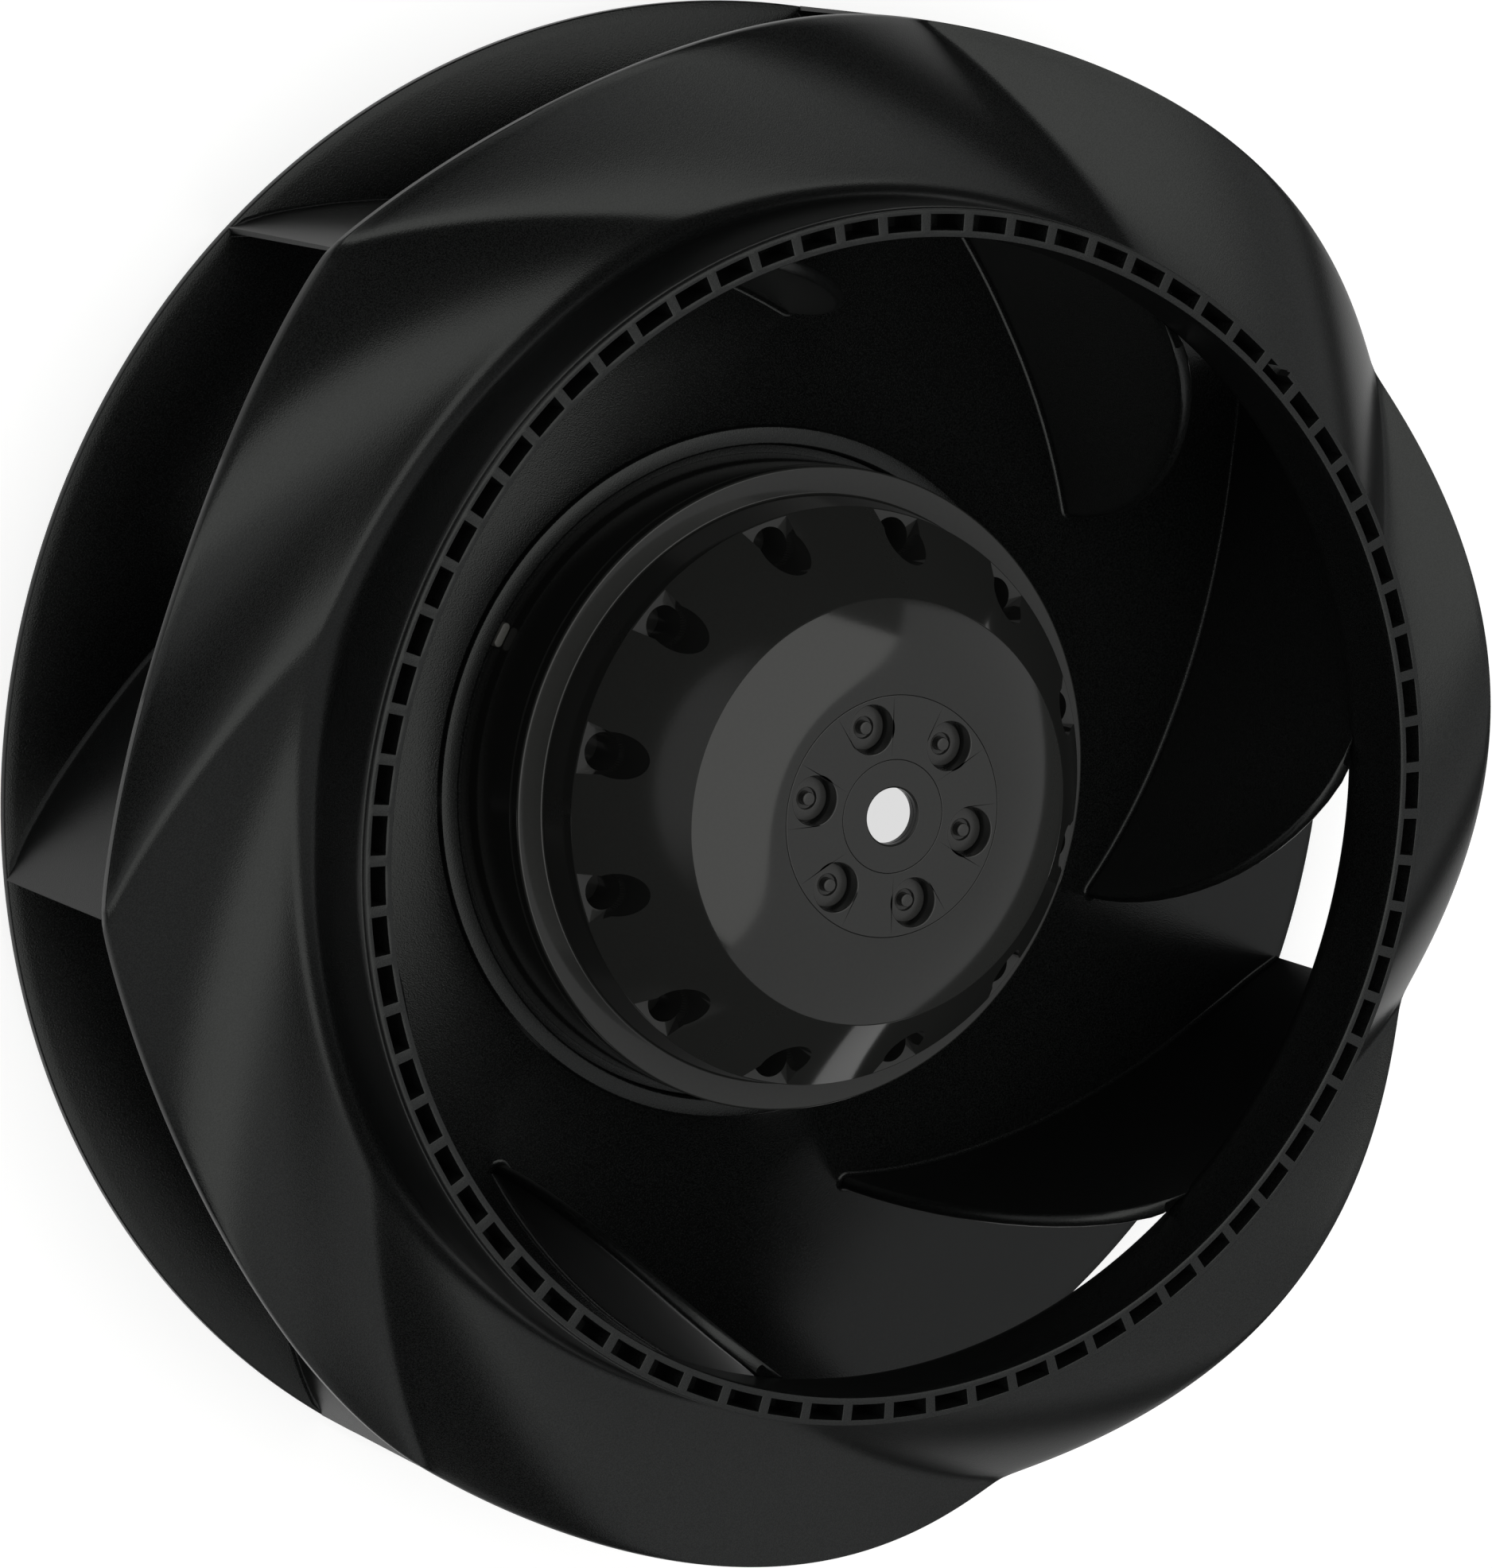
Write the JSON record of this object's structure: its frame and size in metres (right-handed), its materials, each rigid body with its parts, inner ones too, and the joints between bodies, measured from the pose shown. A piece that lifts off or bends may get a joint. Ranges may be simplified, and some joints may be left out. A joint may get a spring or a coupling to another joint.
{
  "type": "centrifugal blower wheel",
  "caption": "Backward-curved centrifugal fan wheel with a lobed shroud, a pocketed inlet ring and a riveted rotor hub.",
  "frame": {"origin": "on the wheel's axis, in the plane of the back plate's flat foot", "axes": "+Z along the axis of rotation, out of the inlet ring; +X through the tail of the first blade"},
  "size_m": [0.25, 0.25, 0.0718],
  "materials": {
    "shroud_plastic": "fine grained black moulding, satin",
    "plate_plastic": "fine grained black moulding, satin",
    "hub_plastic": "smooth black moulding, semi-gloss",
    "disc_plastic": "smooth black moulding, semi-gloss",
    "bush": "smooth black, semi-gloss",
    "rivet": "black coated",
    "rivet_pin": "black coated",
    "plug": "dark grey, dull"
  },
  "bodies": {
    "root": {"shroud_and_blades": "shroud_plastic", "back_plate": "plate_plastic", "rotor_hub": "hub_plastic", "front_disc": "disc_plastic", "bore_bush": "bush", "rivet_bodies": "rivet", "rivet_pins": "rivet_pin", "collar_plug": "plug"}
  },
  "joints": []
}
